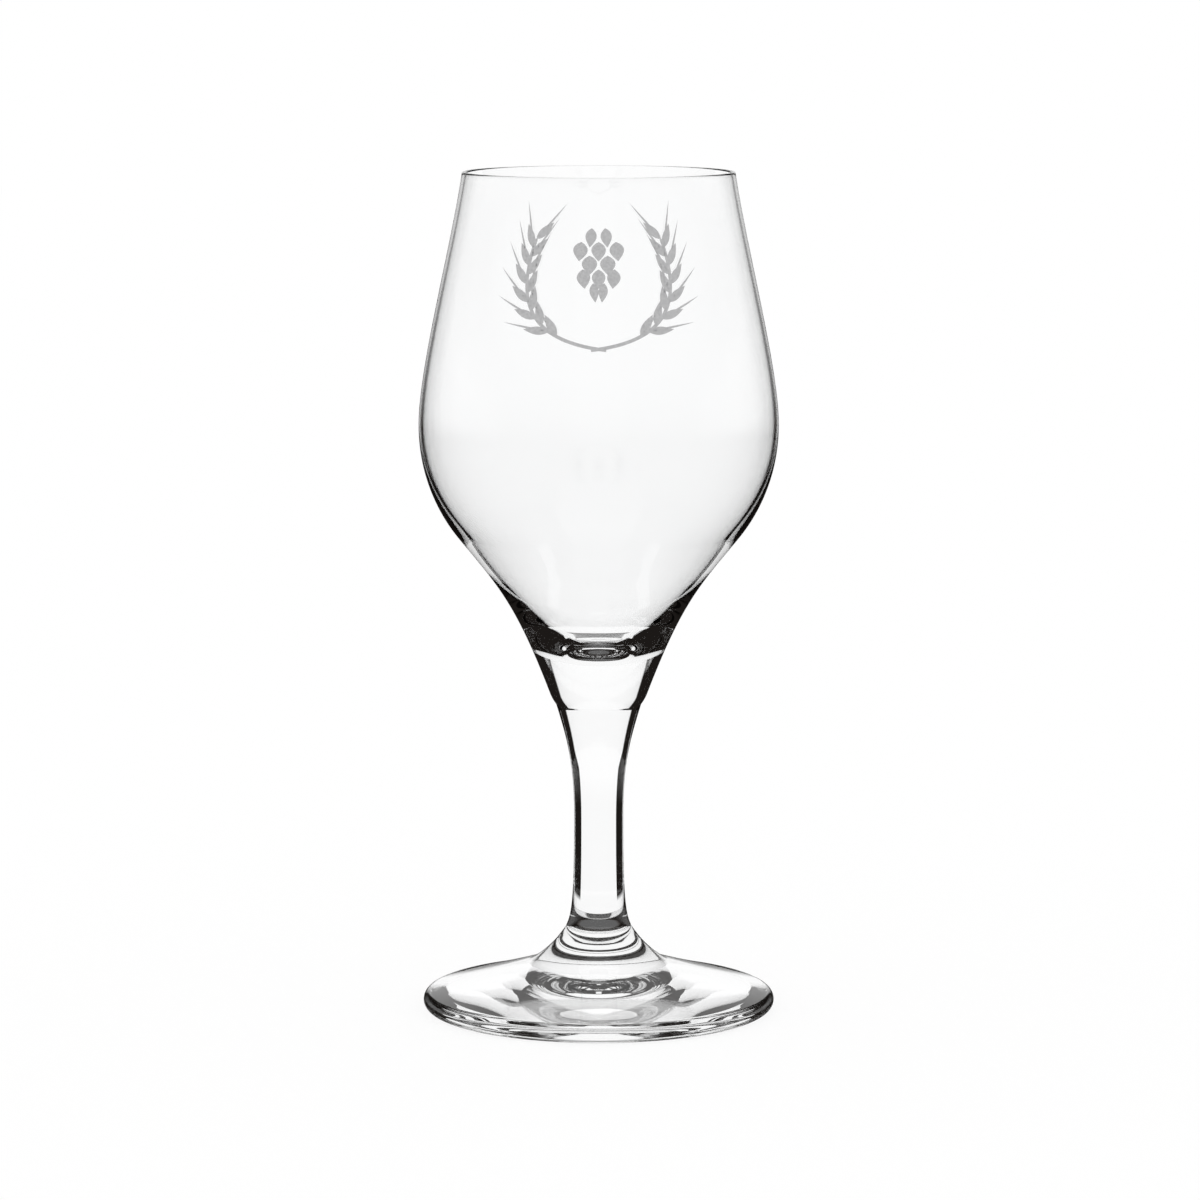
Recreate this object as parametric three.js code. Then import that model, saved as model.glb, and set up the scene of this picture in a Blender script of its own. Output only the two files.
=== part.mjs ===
// A stemmed tasting glass: a thin blown bowl, a pressed stem and a pressed foot,
// each turned about the Z axis and fused end to end. Millimetres, +Z up, standing on z = 0.
import * as THREE from 'three';

// Foot: a low dome with a rounded edge, standing on a flat ring round a hollowed underside
const FOOT_HEIGHT = 13.4; // table to the joint with the stem
const FOOT_DIAMETER = 65.1;
const FOOT_EDGE_THICKNESS = 3.3;
const FOOT_EDGE_LEAN = 0.25; // fall of the dome per mm outwards, where it meets the edge
const DOME_SHOULDER_DIAMETER = 26.4; // where the collar's sweep runs out into the dome
const DOME_SHOULDER_HEIGHT = 8.5;
const DOME_SHOULDER_LEAN = 0.33; // fall of the dome per mm outwards, at its shoulder
const DOME_SWEEP = 6; // reach of the dome's curve from its shoulder
const DOME_EDGE_SWEEP = 6; // reach of the dome's curve from its edge
const RESTING_RING_WIDTH = 3.2;
const UNDERSIDE_RISE = 3.6; // depth of the hollow underneath, at the middle
const UNDERSIDE_SWEEP = 12.5; // reach of the hollow's curve, at the middle
const UNDERSIDE_RING_SWEEP = 11; // and at the ring

// Stem: a waisted rod that flares into a collar below and a cup above
const STEM_LENGTH = 43.6; // foot joint to bowl seam
const COLLAR_DIAMETER = 14.8; // at the foot joint
const COLLAR_LEAN = 0.75; // widening per mm downwards, at the foot joint
const COLLAR_SWEEP_UP = 2.8; // reach of the collar's curve into the stem
const COLLAR_SWEEP_DOWN = 2.4; // reach of the collar's curve into the foot
const DOME_COLLAR_SWEEP = 1; // reach of the same curve, from the dome's shoulder
const WAIST_DIAMETER = 9.1;
const WAIST_RISE = 22.5; // foot joint to the thinnest level
const WAIST_SWEEP_DOWN = 19.7; // reach of the upright stretch below the waist
const WAIST_SWEEP_UP = 10.3; // reach of the upright stretch above the waist
const SEAM_DIAMETER = 15.7; // where stem and bowl are fused
const STEM_TOP_LEAN = 0.3; // widening per mm upwards, at the seam
const STEM_TOP_SWEEP = 6.5; // reach of the stem's curve below the seam

// Bowl: heights are counted up from the seam
const BOWL_HEIGHT = 98; // seam to rim
const HEEL_DIAMETER = 17.96; // above the rounded step at the seam
const HEEL_RISE = 2;
const HEEL_LEAN = 0.378; // widening per mm upwards
const HEEL_SWEEP = 17; // reach of the flare above the heel
const FLANK_DIAMETER = 51.72; // where the flare turns over into the belly
const FLANK_RISE = 31.1;
const FLANK_LEAN = 0.814;
const FLANK_SWEEP_DOWN = 8.9;
const FLANK_SWEEP_UP = 3.3;
const BELLY_DIAMETER = 66;
const BELLY_RISE = 51.7; // widest level
const BELLY_SWEEP_DOWN = 10.3;
const BELLY_SWEEP_UP = 10.4;
const RIM_DIAMETER = 49.9;
const RIM_LEAN = 0.147; // widening per mm downwards
const RIM_SWEEP = 12.6;

// Bowl walls, measured square to the glass, and the solid glass under the drink
const RIM_WALL = 0.8;
const BELLY_WALL = 0.8;
const FLANK_WALL = 1.4;
const INNER_FLANK_LEAN = 0.85; // a little flatter than outside, so the wall thickens downwards
const INNER_FLANK_SWEEP = 2.8; // reach of the inner curve above the flank
const FLOOR_THICKNESS = 9.3; // seam to the lowest point inside
const FLOOR_SWEEP = 10; // reach of the rounded floor from the axis
const FLOOR_SIDE_SWEEP = 16.3; // reach of the straight side above the floor

// Facets
const SEGMENTS = 64; // round the axis
const CURVE_STEPS = 8; // along each curve of a profile
const HEEL_STEPS = 4;
const EDGE_STEPS = 10;
const RIM_STEPS = 6;

const clearGlass = (name) =>
  new THREE.MeshStandardMaterial({ name, color: 0xf4f7f6, roughness: 0.03, metalness: 0 });

const at = (radius, height) => new THREE.Vector2(radius, height);

// Point on a tangent that leans outwards by `lean` per mm of height, `rise` above its start
const alongLean = (start, lean, rise) => at(start.x + lean * rise, start.y + rise);

// Point on a tangent that falls by `fall` per mm outwards, `reach` outside its start
const alongFall = (start, fall, reach) => at(start.x + reach, start.y - fall * reach);

const curve = (...points) => new THREE.CubicBezierCurve(...points).getPoints(CURVE_STEPS);

// Round stretch about a centre, between two angles counted from the outward direction
function arc(centre, radius, from, to, steps) {
  return Array.from({ length: steps + 1 }, (_, i) => {
    const angle = from + ((to - from) * i) / steps;
    return at(centre.x + radius * Math.cos(angle), centre.y + radius * Math.sin(angle));
  });
}

// One turned piece from runs of profile points, listed from the lower axis point to the upper one
function turned(name, base, ...runs) {
  const profile = runs.flat().filter((p, i, all) => i === 0 || p.distanceTo(all[i - 1]) > 1e-6);
  const geometry = new THREE.LatheGeometry(profile, SEGMENTS).rotateX(Math.PI / 2);
  const mesh = new THREE.Mesh(geometry, clearGlass(`${name}_glass`));
  mesh.name = name;
  mesh.position.z = base;
  return mesh;
}

const collar = at(COLLAR_DIAMETER / 2, 0);
const seam = at(SEAM_DIAMETER / 2, 0);

function makeFoot() {
  const edgeRadius = FOOT_EDGE_THICKNESS / 2;
  const edgeCentre = at(FOOT_DIAMETER / 2 - edgeRadius, edgeRadius);
  const edge = arc(edgeCentre, edgeRadius, -Math.PI / 2, Math.PI / 2 - Math.atan(FOOT_EDGE_LEAN), EDGE_STEPS);
  const edgeTop = edge.at(-1);

  const ringInner = at(edgeCentre.x - RESTING_RING_WIDTH, 0);
  const hollow = at(0, UNDERSIDE_RISE);
  const underside = curve(
    hollow,
    at(UNDERSIDE_SWEEP, UNDERSIDE_RISE),
    at(ringInner.x - UNDERSIDE_RING_SWEEP, UNDERSIDE_RISE / 2),
    ringInner
  );

  const shoulder = at(DOME_SHOULDER_DIAMETER / 2, DOME_SHOULDER_HEIGHT);
  const dome = curve(
    edgeTop,
    alongFall(edgeTop, FOOT_EDGE_LEAN, -DOME_EDGE_SWEEP),
    alongFall(shoulder, DOME_SHOULDER_LEAN, DOME_SWEEP),
    shoulder
  );
  const top = at(collar.x, FOOT_HEIGHT);
  const sweep = curve(
    shoulder,
    alongFall(shoulder, DOME_SHOULDER_LEAN, -DOME_COLLAR_SWEEP),
    alongLean(top, -COLLAR_LEAN, -COLLAR_SWEEP_DOWN),
    top
  );
  return turned('foot', 0, underside, edge, dome, sweep, at(0, FOOT_HEIGHT));
}

function makeStem() {
  const waist = at(WAIST_DIAMETER / 2, WAIST_RISE);
  const top = at(seam.x, STEM_LENGTH);
  const lower = curve(
    collar,
    alongLean(collar, -COLLAR_LEAN, COLLAR_SWEEP_UP),
    at(waist.x, waist.y - WAIST_SWEEP_DOWN),
    waist
  );
  const upper = curve(
    waist,
    at(waist.x, waist.y + WAIST_SWEEP_UP),
    alongLean(top, STEM_TOP_LEAN, -STEM_TOP_SWEEP),
    top
  );
  return turned('stem', FOOT_HEIGHT, at(0, 0), lower, upper, at(0, STEM_LENGTH));
}

function makeBowl() {
  const heel = at(HEEL_DIAMETER / 2, HEEL_RISE);
  const flank = at(FLANK_DIAMETER / 2, FLANK_RISE);
  const belly = at(BELLY_DIAMETER / 2, BELLY_RISE);
  const rimRadius = RIM_WALL / 2;
  const rimCentre = at(RIM_DIAMETER / 2 - rimRadius, BOWL_HEIGHT - rimRadius);
  const rim = arc(rimCentre, rimRadius, 0, Math.PI, RIM_STEPS);
  const rimOuter = rim[0];
  const rimInner = rim.at(-1);

  // The heel rounds in to the seam from the flare's own tangent
  const heelTurn = alongLean(heel, HEEL_LEAN, -HEEL_RISE / 2);
  const step = new THREE.QuadraticBezierCurve(seam, heelTurn, heel).getPoints(HEEL_STEPS);
  const flare = curve(
    heel,
    alongLean(heel, HEEL_LEAN, HEEL_SWEEP),
    alongLean(flank, FLANK_LEAN, -FLANK_SWEEP_DOWN),
    flank
  );
  const lowerBelly = curve(
    flank,
    alongLean(flank, FLANK_LEAN, FLANK_SWEEP_UP),
    at(belly.x, belly.y - BELLY_SWEEP_DOWN),
    belly
  );
  const upperBelly = curve(
    belly,
    at(belly.x, belly.y + BELLY_SWEEP_UP),
    alongLean(rimOuter, -RIM_LEAN, -RIM_SWEEP),
    rimOuter
  );

  // The inside follows the outside at the wall's thickness, down to a rounded floor
  const innerBelly = at(belly.x - BELLY_WALL, belly.y);
  const square = at(-1, FLANK_LEAN).normalize().multiplyScalar(FLANK_WALL);
  const innerFlank = flank.clone().add(square);
  const floor = at(0, FLOOR_THICKNESS);
  const innerUpper = curve(
    rimInner,
    alongLean(rimInner, -RIM_LEAN, -RIM_SWEEP),
    at(innerBelly.x, innerBelly.y + BELLY_SWEEP_UP),
    innerBelly
  );
  const innerLower = curve(
    innerBelly,
    at(innerBelly.x, innerBelly.y - BELLY_SWEEP_DOWN),
    alongLean(innerFlank, INNER_FLANK_LEAN, INNER_FLANK_SWEEP),
    innerFlank
  );
  const innerFloor = curve(
    innerFlank,
    alongLean(innerFlank, INNER_FLANK_LEAN, -FLOOR_SIDE_SWEEP),
    at(FLOOR_SWEEP, FLOOR_THICKNESS),
    floor
  );
  return turned(
    'bowl',
    FOOT_HEIGHT + STEM_LENGTH,
    at(0, 0),
    step,
    flare,
    lowerBelly,
    upperBelly,
    rim,
    innerUpper,
    innerLower,
    innerFloor
  );
}

const glass = new THREE.Group();
glass.name = 'tasting_glass';
glass.add(makeFoot(), makeStem(), makeBowl());

export default glass;
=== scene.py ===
import math

import bmesh
import bpy
import numpy as np
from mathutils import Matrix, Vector


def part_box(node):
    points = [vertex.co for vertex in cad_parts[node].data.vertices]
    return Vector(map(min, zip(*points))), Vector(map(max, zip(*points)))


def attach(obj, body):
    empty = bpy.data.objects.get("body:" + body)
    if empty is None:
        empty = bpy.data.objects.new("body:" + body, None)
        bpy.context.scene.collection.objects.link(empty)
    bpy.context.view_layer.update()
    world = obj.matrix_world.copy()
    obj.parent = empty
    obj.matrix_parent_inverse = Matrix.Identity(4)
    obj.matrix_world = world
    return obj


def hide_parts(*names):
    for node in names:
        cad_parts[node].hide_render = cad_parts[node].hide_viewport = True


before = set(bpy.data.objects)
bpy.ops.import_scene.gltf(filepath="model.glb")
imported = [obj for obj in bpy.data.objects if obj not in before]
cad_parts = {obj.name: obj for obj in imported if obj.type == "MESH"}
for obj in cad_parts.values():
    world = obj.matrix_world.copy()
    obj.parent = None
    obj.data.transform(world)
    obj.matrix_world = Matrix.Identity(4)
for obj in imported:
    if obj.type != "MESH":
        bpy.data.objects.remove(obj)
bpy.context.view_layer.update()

# The foot: a pressed disc of clear glass with a low dome, a rounded edge and a hollowed underside.
# It stands on the narrow flat ring round the hollow, and its top is fused to the stem.
SAME_POINT = 1e-7  # closer points are one; all sizes are in metres
WELD = 1e-6  # closer points of a turned piece are welded, and closer levels are the same
CURVE_FACETS = 8  # facets of each curve in the CAD outline
EDGE_FACETS = 10  # facets of the rounded edge
SPANS = 6  # points on the true curve for each facet
SEGMENTS = 192  # round the axis
CREASE = math.radians(14)  # edges that turn more than this stay sharp
NO_JOINT = -1.0  # a level at which no face lies
GLASS_TINT = (0.985, 0.987, 0.988, 1)
GLASS_IOR = 1.52
RIPPLE_DETAIL = 1.0
SPECK_SCALE = 900.0
SPECK_DETAIL = 3.0
SPECK_LOW = 0.5  # noise below this leaves the skin bright
SPECK_HIGH = 0.8
SPECK_ROUGHNESS = 0.004

foot_runs = (
    ("curve", CURVE_FACETS),
    ("flat", 1),
    ("round", EDGE_FACETS),
    ("curve", CURVE_FACETS),
    ("curve", CURVE_FACETS),
    ("flat", 1),
)


def cad_outline(node):
    """Points (radius, height) of a turned CAD node, from its lower axis point to its upper one."""
    mesh = bmesh.new()
    mesh.from_mesh(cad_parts[node].data)
    bmesh.ops.remove_doubles(mesh, verts=mesh.verts, dist=SAME_POINT)
    front = {v for v in mesh.verts if abs(v.co.x) < SAME_POINT and v.co.y < SAME_POINT}
    beside = {v: [e.other_vert(v) for e in v.link_edges if e.other_vert(v) in front] for v in front}
    ends = [v for v in front if len(beside[v]) == 1]
    here = min(ends, key=lambda v: v.co.z)
    walked = []
    while here:
        walked.append(here)
        here = next((v for v in beside[here] if v not in walked), None)
    outline = np.array([(-v.co.y, v.co.z) for v in walked])
    mesh.free()
    return outline


def round_run(run, shares):
    """Points on the circle through a run's first, middle and last points."""
    first, middle, last = run[0], run[len(run) // 2], run[-1]
    chords = 2 * np.array([middle - first, last - first])
    centre = np.linalg.solve(chords, [middle @ middle - first @ first, last @ last - first @ first])
    turns = np.unwrap([math.atan2(p[1] - centre[1], p[0] - centre[0]) for p in (first, middle, last)])
    angles = turns[0] + shares * (turns[-1] - turns[0])
    radius = np.linalg.norm(first - centre)
    return centre + radius * np.stack([np.cos(angles), np.sin(angles)], axis=1)


def true_outline(node, runs):
    """The CAD outline with each run of facets back on its curve: a cubic, a circle or a line."""
    facets = cad_outline(node)
    outline = [facets[:1]]
    start = 0
    for kind, count in runs:
        run = facets[start : start + count + 1]
        start += count
        if kind == "flat":
            outline.append(run[1:])
            continue
        shares = np.linspace(0, 1, count * SPANS + 1)[1:]
        if kind == "round":
            outline.append(round_run(run, shares))
            continue
        steps = np.linspace(0, 1, count + 1)
        cubics = [np.polyfit(steps, run[:, axis], 3) for axis in (0, 1)]
        outline.append(np.stack([np.polyval(cubic, shares) for cubic in cubics], axis=1))
    return np.concatenate(outline)


def add(tree, kind, inputs=(), **settings):
    """One node of a tree. Its inputs, by name or number, hold a value or a socket to link."""
    node = tree.nodes.new(kind)
    for name, value in settings.items():
        setattr(node, name, value)
    for key, value in dict(inputs).items():
        if isinstance(value, bpy.types.NodeSocket):
            tree.links.new(value, node.inputs[key])
        else:
            node.inputs[key].default_value = value
    return node


def math_node(tree, operation, *values, clamp=False):
    """The output of a Math node."""
    return add(tree, "ShaderNodeMath", enumerate(values), operation=operation, use_clamp=clamp).outputs[0]


def turning_tree():
    """Geometry Nodes that turn an outline about the Z axis into a closed glass solid."""
    tree = bpy.data.node_groups.new("turned glass", "GeometryNodeTree")
    sockets = (
        ("Outline", "NodeSocketGeometry"),
        ("Segments", "NodeSocketInt"),
        ("Crease", "NodeSocketFloat"),
        ("Lower Joint", "NodeSocketFloat"),
        ("Upper Joint", "NodeSocketFloat"),
        ("Glass", "NodeSocketMaterial"),
        ("Joint", "NodeSocketMaterial"),
    )
    for name, kind in sockets:
        tree.interface.new_socket(name, in_out="INPUT", socket_type=kind)
    tree.interface.new_socket("Solid", in_out="OUTPUT", socket_type="NodeSocketGeometry")
    given = add(tree, "NodeGroupInput").outputs

    # One grid row for each outline point and one column for each step round the axis
    size = add(tree, "GeometryNodeAttributeDomainSize", {"Geometry": given["Outline"]})
    columns = add(tree, "FunctionNodeIntegerMath", {0: given["Segments"], 1: 1}, operation="ADD").outputs[0]
    grid = add(
        tree, "GeometryNodeMeshGrid", {"Vertices X": size.outputs["Point Count"], "Vertices Y": columns}
    )
    index = add(tree, "GeometryNodeInputIndex").outputs[0]
    row = add(tree, "FunctionNodeIntegerMath", {0: index, 1: columns}, operation="DIVIDE").outputs[0]
    column = add(tree, "FunctionNodeIntegerMath", {0: index, 1: columns}, operation="MODULO").outputs[0]
    place = add(tree, "GeometryNodeInputPosition").outputs[0]
    point = add(tree, "GeometryNodeSampleIndex", data_type="FLOAT_VECTOR")
    tree.links.new(given["Outline"], point.inputs["Geometry"])
    tree.links.new(place, point.inputs["Value"])
    tree.links.new(row, point.inputs["Index"])
    step = math_node(tree, "DIVIDE", math.tau, given["Segments"])
    angle = math_node(tree, "MULTIPLY", column, step)
    turned = add(
        tree,
        "ShaderNodeVectorRotate",
        {"Vector": point.outputs["Value"], "Angle": angle},
        rotation_type="Z_AXIS",
    )
    shell = add(
        tree, "GeometryNodeSetPosition", {"Geometry": grid.outputs["Mesh"], "Position": turned.outputs[0]}
    )

    # The seam and the poles close, the faces point out, and only real creases stay sharp
    closed = add(tree, "GeometryNodeMergeByDistance", {"Geometry": shell.outputs[0], "Distance": WELD})
    outward = add(tree, "GeometryNodeFlipFaces", {"Mesh": closed.outputs[0]})
    edge = add(tree, "GeometryNodeInputMeshEdgeAngle").outputs["Unsigned Angle"]
    sharp = math_node(tree, "GREATER_THAN", edge, given["Crease"])
    smooth = add(tree, "GeometryNodeSetShadeSmooth", {"Geometry": outward.outputs[0]})
    creased = add(
        tree,
        "GeometryNodeSetShadeSmooth",
        {"Geometry": smooth.outputs[0], "Selection": sharp, "Shade Smooth": False},
        domain="EDGE",
    )

    # The flat faces of a fused joint get the joint's own material
    height = add(tree, "ShaderNodeSeparateXYZ", {0: place}).outputs["Z"]
    lower = math_node(tree, "COMPARE", height, given["Lower Joint"], WELD)
    upper = math_node(tree, "COMPARE", height, given["Upper Joint"], WELD)
    fused = math_node(tree, "MAXIMUM", lower, upper)
    solid = add(tree, "GeometryNodeRealizeInstances", {"Geometry": creased.outputs[0]})
    glass = add(
        tree, "GeometryNodeSetMaterial", {"Geometry": solid.outputs[0], "Material": given["Glass"]}
    )
    joint = add(
        tree,
        "GeometryNodeSetMaterial",
        {"Geometry": glass.outputs[0], "Selection": fused, "Material": given["Joint"]},
    )
    add(tree, "NodeGroupOutput", {"Solid": joint.outputs[0]})
    return tree


def made_mesh(name, points, edges, tree, values):
    """An object whose mesh a Geometry Nodes tree makes from points, edges and values for its inputs."""
    start = bpy.data.meshes.new(name)
    start.from_pydata(points, edges, [])
    piece = bpy.data.objects.new(name, start)
    bpy.context.scene.collection.objects.link(piece)
    modifier = piece.modifiers.new("made", "NODES")
    modifier.node_group = tree
    for item in tree.interface.items_tree:
        if item.in_out == "INPUT" and item.name in values:
            modifier[item.identifier] = values[item.name]
    graph = bpy.context.evaluated_depsgraph_get()
    mesh = bpy.data.meshes.new_from_object(piece.evaluated_get(graph), depsgraph=graph)
    piece.modifiers.remove(modifier)
    piece.data = mesh
    bpy.data.meshes.remove(start)
    mesh.name = name
    return piece


def turned_piece(name, node, runs, glass, lower_joint=NO_JOINT, upper_joint=NO_JOINT):
    """A glass solid turned from a CAD node's outline, in that node's place."""
    outline = true_outline(node, runs)
    points = [(radius, 0, height) for radius, height in outline]
    edges = [(i, i + 1) for i in range(len(points) - 1)]
    values = {
        "Segments": SEGMENTS,
        "Crease": CREASE,
        "Lower Joint": lower_joint,
        "Upper Joint": upper_joint,
        "Glass": glass,
        "Joint": fused_joint,
    }
    piece = made_mesh(name, points, edges, turn, values)
    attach(piece, "root")
    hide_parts(node)
    return piece


def fire_polish():
    """Shader group for the skin of hot-formed glass: faint ripples, and specks from the tool."""
    group = bpy.data.node_groups.new("fire polish", "ShaderNodeTree")
    for name, kind in (("Place", "NodeSocketVector"), ("Ripple Size", "NodeSocketFloat")):
        group.interface.new_socket(name, in_out="INPUT", socket_type=kind)
    for name in ("Ripple", "Haze"):
        group.interface.new_socket(name, in_out="OUTPUT", socket_type="NodeSocketFloat")
    given = add(group, "NodeGroupInput").outputs
    scale = math_node(group, "DIVIDE", 1.0, given["Ripple Size"])
    ripple = add(
        group,
        "ShaderNodeTexNoise",
        {"Vector": given["Place"], "Scale": scale, "Detail": RIPPLE_DETAIL},
    )
    specks = add(
        group,
        "ShaderNodeTexNoise",
        {"Vector": given["Place"], "Scale": SPECK_SCALE, "Detail": SPECK_DETAIL},
    )
    haze = add(
        group,
        "ShaderNodeMapRange",
        {
            "Value": specks.outputs[0],
            "From Min": SPECK_LOW,
            "From Max": SPECK_HIGH,
            "To Min": 0.0,
            "To Max": SPECK_ROUGHNESS,
        },
    )
    add(group, "NodeGroupOutput", {"Ripple": ripple.outputs[0], "Haze": haze.outputs[0]})
    return group


def clear_glass(name, stretch, ripple_size, ripple_depth):
    """Clear soda glass whose faint ripples run along `stretch`."""
    material = bpy.data.materials.new(name)
    material.use_nodes = True
    tree = material.node_tree
    shader = tree.nodes["Principled BSDF"]
    shader.inputs["Base Color"].default_value = GLASS_TINT
    shader.inputs["IOR"].default_value = GLASS_IOR
    shader.inputs["Transmission Weight"].default_value = 1.0
    place = add(tree, "ShaderNodeTexCoord").outputs["Object"]
    laid = add(tree, "ShaderNodeMapping", {"Vector": place, "Scale": stretch})
    polish = add(tree, "ShaderNodeGroup", node_tree=polish_group)
    tree.links.new(laid.outputs[0], polish.inputs["Place"])
    polish.inputs["Ripple Size"].default_value = ripple_size
    bump = add(tree, "ShaderNodeBump", {"Distance": ripple_depth, "Height": polish.outputs["Ripple"]})
    tree.links.new(bump.outputs[0], shader.inputs["Normal"])
    tree.links.new(polish.outputs["Haze"], shader.inputs["Roughness"])
    return material


def fused_glass():
    """The fused faces inside the glass, where nothing shows because one glass runs into the other."""
    material = bpy.data.materials.new("fused joint")
    material.use_nodes = True
    shader = material.node_tree.nodes["Principled BSDF"]
    shader.inputs["Base Color"].default_value = GLASS_TINT
    shader.inputs["IOR"].default_value = GLASS_IOR
    shader.inputs["Alpha"].default_value = 0.0
    return material


turn = turning_tree()
polish_group = fire_polish()
fused_joint = fused_glass()

foot_glass = clear_glass("foot glass", stretch=(1, 1, 1), ripple_size=0.009, ripple_depth=6e-6)
foot_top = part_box("foot")[1].z
foot = turned_piece("pressed_foot", "foot", foot_runs, foot_glass, upper_joint=foot_top)

# The stem: a solid waisted rod of clear glass, pressed in one with its flared ends.
# It is fused to the foot at the collar below and to the bowl at the seam above.
stem_runs = (
    ("flat", 1),
    ("curve", CURVE_FACETS),
    ("curve", CURVE_FACETS),
    ("flat", 1),
)
stem_glass = clear_glass("stem glass", stretch=(1, 1, 0.15), ripple_size=0.006, ripple_depth=3e-6)
stem_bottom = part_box("stem")[0].z
stem_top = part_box("stem")[1].z
stem = turned_piece("drawn_stem", "stem", stem_runs, stem_glass, stem_bottom, stem_top)

# The bowl: clear glass blown thin in a turning mould, heavy at its cone-shaped base.
# The rim is cut and melted round, and the base is fused to the stem at a visible seam.
HEEL_FACETS = 4
RIM_FACETS = 6
bowl_runs = (
    ("flat", 1),
    ("curve", HEEL_FACETS),
    ("curve", CURVE_FACETS),
    ("curve", CURVE_FACETS),
    ("curve", CURVE_FACETS),
    ("round", RIM_FACETS),
    ("curve", CURVE_FACETS),
    ("curve", CURVE_FACETS),
    ("curve", CURVE_FACETS),
)
bowl_glass = clear_glass("bowl glass", stretch=(1, 1, 0.4), ripple_size=0.02, ripple_depth=1e-6)
bowl_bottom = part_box("bowl")[0].z
bowl = turned_piece("blown_bowl", "bowl", bowl_runs, bowl_glass, lower_joint=bowl_bottom)

# The print: two barley ears round a hop cone in matt grey enamel, fired onto the front of the bowl.
# It is drawn flat, one ear mirrored from the other, and laid on the curved wall as a transfer is.
PRINT_LOW = 0.1257  # level of the drawing's zero
PRINT_RADIUS = 0.0272  # of the wall, for turning a width into an angle
PRINT_LIFT = 3e-5
PRINT_THICKNESS = 3e-5
CAST_LENGTH = 2.0  # of the rays that find the wall, which start 1 m out from the axis
BLADE_COLUMNS = 3
BLADE_ROWS = 11
BLADE_BELLY = 0.8  # below 1, a blade is widest below its middle
STALK_STEPS = 48
EAR_FOOT = (-0.0012, 0, -0.0008)
EAR_BEND = (0.0165, 0, 0.0015)
EAR_TIP = (0.0115, 0, 0.0185)
EAR_BARE = 0.3  # share of the stalk without grains
EAR_GRAINS = 13
GRAIN_LENGTH = 0.0044
GRAIN_WIDTH = 0.00145
GRAIN_SPLAY = math.radians(32)
AWN_LENGTH = 0.0085
AWN_WIDTH = 0.00035
AWN_SPLAY = math.radians(26)
STALK_WIDTH = 0.0006
CONE_ROWS = 5
CONE_ROW_PLACES = 3  # every other row fills only two of them
CONE_SWELL = 2.1  # turn of the sine that gives each row its width
CONE_SWELL_START = 0.85
CONE_FAN = 0.8  # outward lean of the top row, as a share of the tilt
CONE_FAN_FALL = 2.0  # and how far that share falls to the bottom
CONE_TOP = 0.0205
CONE_PITCH = 0.0024
CONE_SPREAD = 0.0032
CONE_TILT = math.radians(16)
SCALE_LENGTH = 0.0034
SCALE_WIDTH = 0.0027
ENAMEL_DARK = (0.42, 0.42, 0.425, 1)
ENAMEL_PALE = (0.53, 0.53, 0.535, 1)
ENAMEL_SMOOTHEST = 0.5
ENAMEL_ROUGHEST = 0.75
MOTTLE_SCALE = 2600.0
MOTTLE_DETAIL = 3.0
MOTTLE_LOW = 0.3
MOTTLE_HIGH = 0.7


def blade(tree, length, width):
    """A pointed flat blade from the origin up, on a fine grid that can bend."""
    grid = add(
        tree,
        "GeometryNodeMeshGrid",
        {"Size X": 1.0, "Size Y": 1.0, "Vertices X": BLADE_COLUMNS, "Vertices Y": BLADE_ROWS},
    )
    place = add(tree, "GeometryNodeInputPosition").outputs[0]
    along = add(tree, "ShaderNodeSeparateXYZ", {0: place}).outputs
    share = math_node(tree, "ADD", along["Y"], 0.5)
    early = math_node(tree, "POWER", share, BLADE_BELLY)
    swell = math_node(tree, "SINE", math_node(tree, "MULTIPLY", early, math.pi))
    across = math_node(tree, "MULTIPLY", math_node(tree, "MULTIPLY", along["X"], swell), width)
    up = math_node(tree, "MULTIPLY", share, length)
    put = add(tree, "ShaderNodeCombineXYZ", {"X": across, "Z": up}).outputs[0]
    return add(
        tree, "GeometryNodeSetPosition", {"Geometry": grid.outputs["Mesh"], "Position": put}
    ).outputs[0]


def set_on(tree, points, shape, angle, **more):
    """Copies of a flat shape on points, each turned in the drawing's plane."""
    facing = add(tree, "ShaderNodeCombineXYZ", {"Y": angle}).outputs[0]
    inputs = {"Points": points, "Instance": shape, "Rotation": facing, **more}
    return add(tree, "GeometryNodeInstanceOnPoints", inputs).outputs[0]


def joined(tree, *parts):
    """Several geometries as one."""
    join = add(tree, "GeometryNodeJoinGeometry")
    for part in parts:
        tree.links.new(part, join.inputs[0])
    return join.outputs[0]


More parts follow.
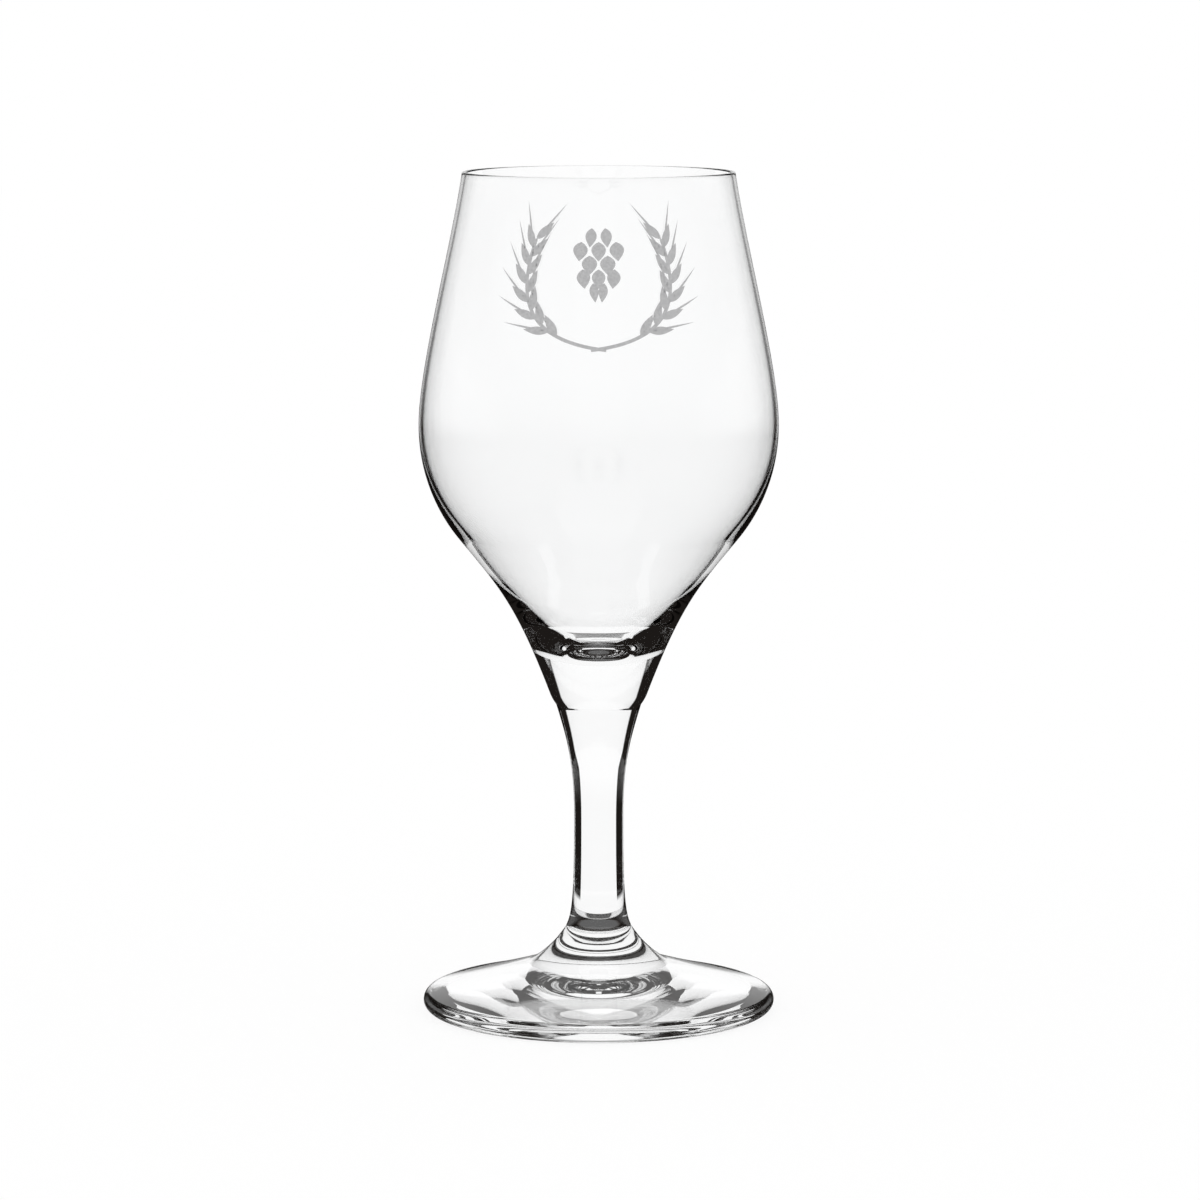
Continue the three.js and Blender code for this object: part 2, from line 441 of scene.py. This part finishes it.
def ear(tree, given):
    """One barley ear: grains and awns on alternate sides of a bent stalk."""
    path = add(
        tree,
        "GeometryNodeCurveQuadraticBezier",
        {
            "Resolution": STALK_STEPS,
            "Start": given["Ear Foot"],
            "Middle": given["Ear Bend"],
            "End": given["Ear Tip"],
        },
    ).outputs[0]
    upper = add(tree, "GeometryNodeTrimCurve", {"Curve": path, "Start": given["Ear Bare"]}).outputs[0]
    beads = add(tree, "GeometryNodeCurveToPoints", {"Curve": upper, "Count": given["Ear Grains"]}).outputs
    heading = add(tree, "ShaderNodeSeparateXYZ", {0: beads["Tangent"]}).outputs
    forward = math_node(tree, "ARCTAN2", heading["X"], heading["Z"])
    index = add(tree, "GeometryNodeInputIndex").outputs[0]
    odd = math_node(tree, "MODULO", index, 2.0)
    side = math_node(tree, "MULTIPLY_ADD", odd, 2.0, -1.0)
    grain_turn = math_node(tree, "MULTIPLY_ADD", side, given["Grain Splay"], forward)
    awn_turn = math_node(tree, "MULTIPLY_ADD", side, given["Awn Splay"], forward)
    grain = blade(tree, given["Grain Length"], given["Grain Width"])
    awn = blade(tree, given["Awn Length"], given["Awn Width"])
    grains = set_on(tree, beads["Points"], grain, grain_turn)
    awns = set_on(tree, beads["Points"], awn, awn_turn)

    # The stalk is a strip of even width along the path
    strip = add(
        tree,
        "GeometryNodeMeshGrid",
        {"Size X": 1.0, "Size Y": 1.0, "Vertices X": 2, "Vertices Y": STALK_STEPS + 1},
    )
    place = add(tree, "GeometryNodeInputPosition").outputs[0]
    spot = add(tree, "ShaderNodeSeparateXYZ", {0: place}).outputs
    share = math_node(tree, "ADD", spot["Y"], 0.5)
    sample = add(tree, "GeometryNodeSampleCurve", {"Curves": path, "Factor": share}).outputs
    course = add(tree, "ShaderNodeSeparateXYZ", {0: sample["Tangent"]}).outputs
    aside = math_node(tree, "MULTIPLY", spot["X"], given["Stalk Width"])
    shift_x = math_node(tree, "MULTIPLY", course["Z"], aside)
    shift_z = math_node(tree, "MULTIPLY", math_node(tree, "MULTIPLY", course["X"], aside), -1.0)
    shift = add(tree, "ShaderNodeCombineXYZ", {"X": shift_x, "Z": shift_z}).outputs[0]
    stalk = add(
        tree,
        "GeometryNodeSetPosition",
        {"Geometry": strip.outputs["Mesh"], "Position": sample["Position"], "Offset": shift},
    ).outputs[0]
    return joined(tree, grains, awns, stalk)


def hop_cone(tree, given):
    """A hop cone: rows of two and of three hanging scales in turn, widest above the middle."""
    count = math_node(tree, "MULTIPLY", given["Cone Rows"], CONE_ROW_PLACES)
    line = add(tree, "GeometryNodeMeshLine", {"Count": count, "Offset": (0, 0, 0)}).outputs[0]
    index = add(tree, "GeometryNodeInputIndex").outputs[0]
    row = math_node(tree, "FLOOR", math_node(tree, "DIVIDE", index, CONE_ROW_PLACES))
    column = math_node(tree, "MODULO", index, CONE_ROW_PLACES)
    odd = math_node(tree, "MODULO", row, 2.0)
    kept = math_node(tree, "MAXIMUM", odd, math_node(tree, "LESS_THAN", column, 1.5))
    middle = math_node(tree, "MULTIPLY_ADD", odd, 0.5, 0.5)
    off = math_node(tree, "SUBTRACT", column, middle)
    down = math_node(tree, "DIVIDE", row, given["Cone Rows"])
    swell = math_node(tree, "MULTIPLY_ADD", down, CONE_SWELL, CONE_SWELL_START)
    bulge = math_node(tree, "SINE", swell)
    aside = math_node(tree, "MULTIPLY", math_node(tree, "MULTIPLY", off, bulge), given["Cone Spread"])
    drop = math_node(tree, "MULTIPLY", row, given["Cone Pitch"])
    height = math_node(tree, "SUBTRACT", given["Cone Top"], drop)
    place = add(tree, "ShaderNodeCombineXYZ", {"X": aside, "Z": height}).outputs[0]
    spots = add(tree, "GeometryNodeSetPosition", {"Geometry": line, "Position": place}).outputs[0]
    fan = math_node(tree, "SUBTRACT", CONE_FAN, math_node(tree, "MULTIPLY", down, CONE_FAN_FALL))
    lean = math_node(tree, "MULTIPLY", math_node(tree, "MULTIPLY", off, given["Cone Tilt"]), fan)
    hang = math_node(tree, "SUBTRACT", math.pi, lean)
    size = add(tree, "ShaderNodeCombineXYZ", {"X": bulge, "Y": 1.0, "Z": 1.0}).outputs[0]
    scale = blade(tree, given["Scale Length"], given["Scale Width"])
    return set_on(tree, spots, scale, hang, Scale=size, Selection=kept)


def print_tree():
    """Geometry Nodes that draw the print flat, lay it on the bowl and give it a skin's thickness."""
    tree = bpy.data.node_groups.new("enamel print", "GeometryNodeTree")
    sockets = (
        ("Start", "NodeSocketGeometry"),
        ("Bowl", "NodeSocketObject"),
        ("Enamel", "NodeSocketMaterial"),
        ("Ear Foot", "NodeSocketVector"),
        ("Ear Bend", "NodeSocketVector"),
        ("Ear Tip", "NodeSocketVector"),
        ("Ear Bare", "NodeSocketFloat"),
        ("Ear Grains", "NodeSocketInt"),
        ("Grain Length", "NodeSocketFloat"),
        ("Grain Width", "NodeSocketFloat"),
        ("Grain Splay", "NodeSocketFloat"),
        ("Awn Length", "NodeSocketFloat"),
        ("Awn Width", "NodeSocketFloat"),
        ("Awn Splay", "NodeSocketFloat"),
        ("Stalk Width", "NodeSocketFloat"),
        ("Cone Rows", "NodeSocketInt"),
        ("Cone Top", "NodeSocketFloat"),
        ("Cone Pitch", "NodeSocketFloat"),
        ("Cone Spread", "NodeSocketFloat"),
        ("Cone Tilt", "NodeSocketFloat"),
        ("Scale Length", "NodeSocketFloat"),
        ("Scale Width", "NodeSocketFloat"),
        ("Low", "NodeSocketFloat"),
        ("Radius", "NodeSocketFloat"),
        ("Lift", "NodeSocketFloat"),
        ("Thickness", "NodeSocketFloat"),
    )
    for name, kind in sockets:
        tree.interface.new_socket(name, in_out="INPUT", socket_type=kind)
    tree.interface.new_socket("Print", in_out="OUTPUT", socket_type="NodeSocketGeometry")
    given = add(tree, "NodeGroupInput").outputs

    right = add(tree, "GeometryNodeRealizeInstances", {"Geometry": ear(tree, given)}).outputs[0]
    swapped = add(tree, "GeometryNodeTransform", {"Geometry": right, "Scale": (-1, 1, 1)}).outputs[0]
    left = add(tree, "GeometryNodeFlipFaces", {"Mesh": swapped}).outputs[0]
    drawing = joined(tree, right, left, hop_cone(tree, given))
    flat = add(tree, "GeometryNodeRealizeInstances", {"Geometry": drawing}).outputs[0]

    # Each point goes round the bowl by its distance from the middle, and in to the wall
    place = add(tree, "GeometryNodeInputPosition").outputs[0]
    drawn = add(tree, "ShaderNodeSeparateXYZ", {0: place}).outputs
    angle = math_node(tree, "DIVIDE", drawn["X"], given["Radius"])
    out_x = math_node(tree, "SINE", angle)
    out_y = math_node(tree, "MULTIPLY", math_node(tree, "COSINE", angle), -1.0)
    outward = add(tree, "ShaderNodeCombineXYZ", {"X": out_x, "Y": out_y}).outputs[0]
    level = math_node(tree, "ADD", drawn["Z"], given["Low"])
    upright = add(tree, "ShaderNodeCombineXYZ", {"Z": level}).outputs[0]
    source = add(tree, "ShaderNodeVectorMath", {0: outward, 1: upright}, operation="ADD").outputs[0]
    inward = add(tree, "ShaderNodeVectorMath", {0: outward, "Scale": -1.0}, operation="SCALE").outputs[0]
    wall = add(tree, "GeometryNodeObjectInfo", {"Object": given["Bowl"]}).outputs["Geometry"]
    hit = add(
        tree,
        "GeometryNodeRaycast",
        {
            "Target Geometry": wall,
            "Source Position": source,
            "Ray Direction": inward,
            "Ray Length": CAST_LENGTH,
        },
    ).outputs
    proud = add(
        tree, "ShaderNodeVectorMath", {0: hit["Hit Normal"], "Scale": given["Lift"]}, operation="SCALE"
    ).outputs[0]
    laid = add(
        tree,
        "GeometryNodeSetPosition",
        {"Geometry": flat, "Position": hit["Hit Position"], "Offset": proud},
    ).outputs[0]

    # The skin is closed: its face, its sides and its back on the glass
    raised = add(
        tree,
        "GeometryNodeExtrudeMesh",
        {"Mesh": laid, "Offset Scale": given["Thickness"], "Individual": False},
    ).outputs["Mesh"]
    back = add(tree, "GeometryNodeFlipFaces", {"Mesh": laid}).outputs[0]
    both = joined(tree, raised, back)
    skin = add(tree, "GeometryNodeMergeByDistance", {"Geometry": both, "Distance": SAME_POINT})
    solid = add(tree, "GeometryNodeRealizeInstances", {"Geometry": skin.outputs[0]}).outputs[0]
    enamelled = add(tree, "GeometryNodeSetMaterial", {"Geometry": solid, "Material": given["Enamel"]})
    add(tree, "NodeGroupOutput", {"Print": enamelled.outputs[0]})
    return tree


def grey_enamel():
    """Matt grey enamel with the fine mottle of a fired screen print."""
    material = bpy.data.materials.new("grey enamel")
    material.use_nodes = True
    tree = material.node_tree
    shader = tree.nodes["Principled BSDF"]
    place = add(tree, "ShaderNodeTexCoord").outputs["Object"]
    mottle = add(
        tree,
        "ShaderNodeTexNoise",
        {"Vector": place, "Scale": MOTTLE_SCALE, "Detail": MOTTLE_DETAIL},
    ).outputs[0]
    tone = add(tree, "ShaderNodeValToRGB", {"Fac": mottle})
    dark, pale = tone.color_ramp.elements
    dark.position = MOTTLE_LOW
    dark.color = ENAMEL_DARK
    pale.position = MOTTLE_HIGH
    pale.color = ENAMEL_PALE
    rough = add(
        tree,
        "ShaderNodeMapRange",
        {"Value": mottle, "To Min": ENAMEL_SMOOTHEST, "To Max": ENAMEL_ROUGHEST},
    ).outputs[0]
    tree.links.new(tone.outputs[0], shader.inputs["Base Color"])
    tree.links.new(rough, shader.inputs["Roughness"])
    return material


print_values = {
    "Bowl": bowl,
    "Enamel": grey_enamel(),
    "Ear Foot": EAR_FOOT,
    "Ear Bend": EAR_BEND,
    "Ear Tip": EAR_TIP,
    "Ear Bare": EAR_BARE,
    "Ear Grains": EAR_GRAINS,
    "Grain Length": GRAIN_LENGTH,
    "Grain Width": GRAIN_WIDTH,
    "Grain Splay": GRAIN_SPLAY,
    "Awn Length": AWN_LENGTH,
    "Awn Width": AWN_WIDTH,
    "Awn Splay": AWN_SPLAY,
    "Stalk Width": STALK_WIDTH,
    "Cone Rows": CONE_ROWS,
    "Cone Top": CONE_TOP,
    "Cone Pitch": CONE_PITCH,
    "Cone Spread": CONE_SPREAD,
    "Cone Tilt": CONE_TILT,
    "Scale Length": SCALE_LENGTH,
    "Scale Width": SCALE_WIDTH,
    "Low": PRINT_LOW,
    "Radius": PRINT_RADIUS,
    "Lift": PRINT_LIFT,
    "Thickness": PRINT_THICKNESS,
}
ornament = made_mesh("barley_print", [], [], print_tree(), print_values)
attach(ornament, "root")

# The table: a plain white floor that takes the glass's soft shadow.
# To the glass it is open, so that what shows through it is the studio round it.
FLOOR_HALF = 3.0
FLOOR_GAP = 2e-5
FLOOR_WHITE = 1.025
FLOOR_SHARE = 0.2  # share of matt paint
FLOOR_PAINT = (0.9, 0.9, 0.9, 1)
FIRST = 0.5  # a ray's count of bounces is below this before the first one


def stage_sheet(name, lower, upper, material):
    """A sheet between two rows of points, that isn't part of the object."""
    count = len(lower)
    mesh = bpy.data.meshes.new(name)
    mesh.from_pydata(lower + upper, [], [(i, i + 1, count + i + 1, count + i) for i in range(count - 1)])
    mesh.materials.append(material)
    sheet = bpy.data.objects.new(name, mesh)
    bpy.context.scene.collection.objects.link(sheet)
    return sheet


def glass_ray(tree):
    """1 for a ray that comes from the glass without a matt surface on its way, and 0 for others."""
    path = add(tree, "ShaderNodeLightPath").outputs
    seen = math_node(tree, "MAXIMUM", path["Is Glossy Ray"], path["Is Transmission Ray"])
    direct = math_node(tree, "LESS_THAN", path["Diffuse Depth"], FIRST)
    return math_node(tree, "MULTIPLY", seen, direct)


def floor_paint():
    """White to the camera, with a share of matt paint that takes the shadow, and open to the glass."""
    material = bpy.data.materials.new("white floor")
    material.use_nodes = True
    tree = material.node_tree
    tree.nodes.clear()
    white = add(tree, "ShaderNodeEmission", {"Strength": FLOOR_WHITE})
    matt = add(tree, "ShaderNodeBsdfDiffuse", {"Color": FLOOR_PAINT})
    shown = add(
        tree, "ShaderNodeMixShader", {0: FLOOR_SHARE, 1: white.outputs[0], 2: matt.outputs[0]}
    )
    clear = add(tree, "ShaderNodeBsdfTransparent")
    both = add(
        tree, "ShaderNodeMixShader", {0: glass_ray(tree), 1: shown.outputs[0], 2: clear.outputs[0]}
    )
    add(tree, "ShaderNodeOutputMaterial", {"Surface": both.outputs[0]})
    return material


stage_sheet(
    "floor",
    [(-FLOOR_HALF, -FLOOR_HALF, -FLOOR_GAP), (FLOOR_HALF, -FLOOR_HALF, -FLOOR_GAP)],
    [(-FLOOR_HALF, FLOOR_HALF, -FLOOR_GAP), (FLOOR_HALF, FLOOR_HALF, -FLOOR_GAP)],
    floor_paint(),
)

# The studio: a lit white card close behind the glass, and white windows further out, dark between them.
# The glass shows the card through it and draws its own outline where it bends the light past the card.
CARD_HALF_WIDTH = 0.052
CARD_FULL = 0.046  # from the middle, where its light starts to fade
CARD_NARROW = 0.039
CARD_DISTANCE = 0.062
CARD_LOW = -0.025
CARD_NECK = 0.045  # level up to which it is narrow
CARD_SHOULDER = 0.06  # level from which it has its full width
CARD_HIGH = 0.3
CARD_LIGHT = 1.05
STRIP_RADIUS = 0.045
STRIP_LOW = -0.02
STRIP_HIGH = 0.01
STRIP_FULL = 0.012  # from the table's level, where its light starts to fade
STRIP_LIGHT = 0.75
STRIP_BACK = math.radians(60)
STRIP_FRONT = math.radians(110)
STRIP_STEPS = 20
DARK = 0.012
DARK_TONE = (1, 0.82, 0.72, 1)
DARK_FADE = 8  # light times this, up to 1, takes the warm tone away
TABLE_DARK = 0.13
# Each window's azimuth, from +Y towards +X, and its elevation: low, high and softness in degrees
# The one in front of the glass stands on both sides of 180 degrees, so it is given twice
WINDOWS = (
    ((-110, -70, 5), (-45, 40, 5)),
    ((70, 108, 5), (-45, 40, 5)),
    ((118, 152, 5), (-60, 25, 5)),
    ((162, 200, 5), (-60, 25, 5)),
    ((-198, -162, 5), (-60, 25, 5)),
    ((-152, -118, 5), (-60, 25, 5)),
    ((-66, -24, 5), (-60, -18.4, 2)),
    ((24, 66, 5), (-60, -18.4, 2)),
    ((-190, 190, 5), (-100, -66, 4)),
)
WINDOW_LIGHT = 1.06
STEEP = -58  # degrees; below this the table's tone shows
STEEP_SOFTNESS = 8
# The same for the bright parts of the room that only the outer skin mirrors
SKIES = (
    ((-14, 14, 4), (0, 80, 4)),
    ((-100, -38, 44), (-4, 10, 6)),
    ((38, 100, 44), (-4, 10, 6)),
)
SKY_LIGHT = 0.9
INSIDE_LIGHT = 1.02
INSIDE_LOW = -50  # degrees; above this the bowl mirrors pale light inside
INSIDE_SOFTNESS = 10
MOUTH = 4  # degrees; above this a mirrored ray counts as leaving through the mouth
MOUTH_SOFTNESS = 20
SECOND = 1.5  # a ray's count of bounces is below this before the second one
FOURTH = 3.5  # and above this from the fourth one on
BOUNCES = 32
MIRROR_BOUNCES = 16


def lit_card(name, light, axis, full, edge):
    """A card that glows, and clears between two distances from its middle along an axis."""
    material = bpy.data.materials.new(name)
    material.use_nodes = True
    tree = material.node_tree
    tree.nodes.clear()
    place = add(tree, "ShaderNodeTexCoord").outputs["Object"]
    spot = add(tree, "ShaderNodeSeparateXYZ", {0: place}).outputs
    along = math_node(tree, "ABSOLUTE", spot[axis])
    fade = add(
        tree,
        "ShaderNodeMapRange",
        {"Value": along, "From Min": full, "From Max": edge, "To Min": 1.0, "To Max": 0.0},
        interpolation_type="SMOOTHSTEP",
    )
    clear = add(tree, "ShaderNodeBsdfTransparent")
    glow = add(tree, "ShaderNodeEmission", {"Strength": light})
    sheet = add(
        tree, "ShaderNodeMixShader", {0: fade.outputs[0], 1: clear.outputs[0], 2: glow.outputs[0]}
    )
    add(tree, "ShaderNodeOutputMaterial", {"Surface": sheet.outputs[0]})
    return material


def only_through_glass(sheet):
    """Hide a sheet from all but the light that comes through the glass."""
    sheet.visible_camera = False
    sheet.visible_diffuse = False
    sheet.visible_glossy = False
    sheet.visible_shadow = False


# The card is narrower behind the stem than behind the bowl
card_edge = (
    (CARD_NARROW, CARD_LOW),
    (CARD_NARROW, CARD_NECK),
    (CARD_HALF_WIDTH, CARD_SHOULDER),
    (CARD_HALF_WIDTH, CARD_HIGH),
)
card = stage_sheet(
    "backlit_card",
    [(-x, CARD_DISTANCE, z) for x, z in card_edge],
    [(x, CARD_DISTANCE, z) for x, z in card_edge],
    lit_card("lit card", CARD_LIGHT, "X", CARD_FULL, CARD_HALF_WIDTH),
)
only_through_glass(card)

# Low grey strips bent round the foot, one on each side
grey_strip = lit_card("grey strip", STRIP_LIGHT, "Z", STRIP_FULL, -STRIP_LOW)
strip_turns = np.linspace(STRIP_BACK, STRIP_FRONT, STRIP_STEPS)
for name, side in (("left_strip", -1), ("right_strip", 1)):
    bend = [(side * STRIP_RADIUS * math.sin(a), STRIP_RADIUS * math.cos(a)) for a in strip_turns]
    strip = stage_sheet(
        name,
        [(x, y, STRIP_LOW) for x, y in bend],
        [(x, y, STRIP_HIGH) for x, y in bend],
        grey_strip,
    )
    only_through_glass(strip)


def soft_step(tree, angle, edge, softness):
    """0 below an edge in degrees and 1 above it, over a soft width."""
    past = math_node(tree, "SUBTRACT", angle, math.radians(edge))
    share = math_node(tree, "DIVIDE", past, math.radians(softness))
    return math_node(tree, "ADD", share, 0.5, clamp=True)


def soft_band(tree, angle, low, high, softness):
    """1 between two angles in degrees, with soft edges."""
    above = soft_step(tree, angle, low, softness)
    below = math_node(tree, "SUBTRACT", 1.0, soft_step(tree, angle, high, softness))
    return math_node(tree, "MULTIPLY", above, below)


def patches(tree, azimuth, elevation, places):
    """1 in any of several soft-edged patches of the room, and 0 outside them."""
    total = 0.0
    for width, height in places:
        wide = soft_band(tree, azimuth, *width)
        tall = soft_band(tree, elevation, *height)
        total = math_node(tree, "MAXIMUM", total, math_node(tree, "MULTIPLY", wide, tall))
    return total


def studio():
    """A white room for the camera and for matt surfaces, and a dark one with white windows for glass."""
    world = bpy.data.worlds.new("studio")
    world.use_nodes = True
    tree = world.node_tree
    tree.nodes.clear()
    direction = add(tree, "ShaderNodeTexCoord").outputs["Generated"]
    along = add(tree, "ShaderNodeSeparateXYZ", {0: direction}).outputs
    azimuth = math_node(tree, "ARCTAN2", along["X"], along["Y"])
    elevation = math_node(tree, "ARCSINE", along["Z"])
    windows = patches(tree, azimuth, elevation, WINDOWS)

    # The windows show straight through the glass, but not in its reflections
    path = add(tree, "ShaderNodeLightPath").outputs
    straight = math_node(tree, "LESS_THAN", path["Glossy Depth"], FIRST)
    mirrored = math_node(tree, "SUBTRACT", 1.0, straight)
    lit = math_node(tree, "MULTIPLY", math_node(tree, "MULTIPLY", windows, straight), WINDOW_LIGHT)

    # The outer skin mirrors a bright strip behind the glass and pale sides
    sky = patches(tree, azimuth, elevation, SKIES)
    entered = path["Transmission Depth"]
    outside = math_node(tree, "MULTIPLY", mirrored, math_node(tree, "LESS_THAN", entered, FIRST))
    skin = math_node(tree, "MULTIPLY", math_node(tree, "MULTIPLY", sky, outside), SKY_LIGHT)

    # What the bowl mirrors once inside is pale, whether it leaves through the wall or the mouth
    single = math_node(tree, "LESS_THAN", path["Glossy Depth"], SECOND)
    once = math_node(tree, "MULTIPLY", mirrored, single)
    level = soft_step(tree, elevation, INSIDE_LOW, INSIDE_SOFTNESS)
    across = math_node(tree, "MULTIPLY", level, math_node(tree, "GREATER_THAN", entered, FOURTH))
    up = soft_step(tree, elevation, MOUTH, MOUTH_SOFTNESS)
    out = math_node(tree, "MULTIPLY", up, math_node(tree, "GREATER_THAN", entered, SECOND))
    inside = math_node(tree, "MULTIPLY", once, math_node(tree, "MAXIMUM", across, out))
    hollow = math_node(tree, "MULTIPLY", inside, INSIDE_LIGHT)
    bright = math_node(tree, "MAXIMUM", lit, math_node(tree, "MAXIMUM", skin, hollow))

    # The rest is dark, a little less so steeply below, and warm where it is darkest
    steep = math_node(tree, "SUBTRACT", 1.0, soft_step(tree, elevation, STEEP, STEEP_SOFTNESS))
    table = math_node(tree, "MAXIMUM", math_node(tree, "MULTIPLY", steep, TABLE_DARK), DARK)
    for_glass = math_node(tree, "MAXIMUM", bright, table)
    from_glass = glass_ray(tree)
    plain = math_node(tree, "SUBTRACT", 1.0, from_glass)
    strength = math_node(tree, "ADD", math_node(tree, "MULTIPLY", from_glass, for_glass), plain)
    white = math_node(tree, "MULTIPLY", strength, DARK_FADE, clamp=True)
    tone = add(tree, "ShaderNodeMix", {0: white, 6: DARK_TONE, 7: (1, 1, 1, 1)}, data_type="RGBA")
    light = add(tree, "ShaderNodeBackground", {"Color": tone.outputs[2], "Strength": strength})
    add(tree, "ShaderNodeOutputWorld", {"Surface": light.outputs[0]})
    return world


bpy.context.scene.world = studio()
bpy.context.scene.view_settings.view_transform = "Standard"
bpy.context.scene.cycles.max_bounces = BOUNCES
bpy.context.scene.cycles.transmission_bounces = BOUNCES
bpy.context.scene.cycles.glossy_bounces = MIRROR_BOUNCES
bpy.context.scene.cycles.transparent_max_bounces = BOUNCES

# The camera: the photograph's long lens, a little above the glass and looking slightly down.
# It stands in front of the glass, about six times the glass's height away.
LENS = 147.6
SENSOR = 36.0
CAMERA_PLACE = Vector((0.00024, -0.89809, 0.19654))
CAMERA_AIM = Vector((0.00024, 0.0, 0.07629))
lens = bpy.data.cameras.new("camera")
lens.lens = LENS
lens.sensor_width = SENSOR
camera = bpy.data.objects.new("camera", lens)
camera.location = CAMERA_PLACE
camera.rotation_euler = (CAMERA_AIM - CAMERA_PLACE).to_track_quat("-Z", "Y").to_euler()
bpy.context.scene.collection.objects.link(camera)
bpy.context.scene.camera = camera
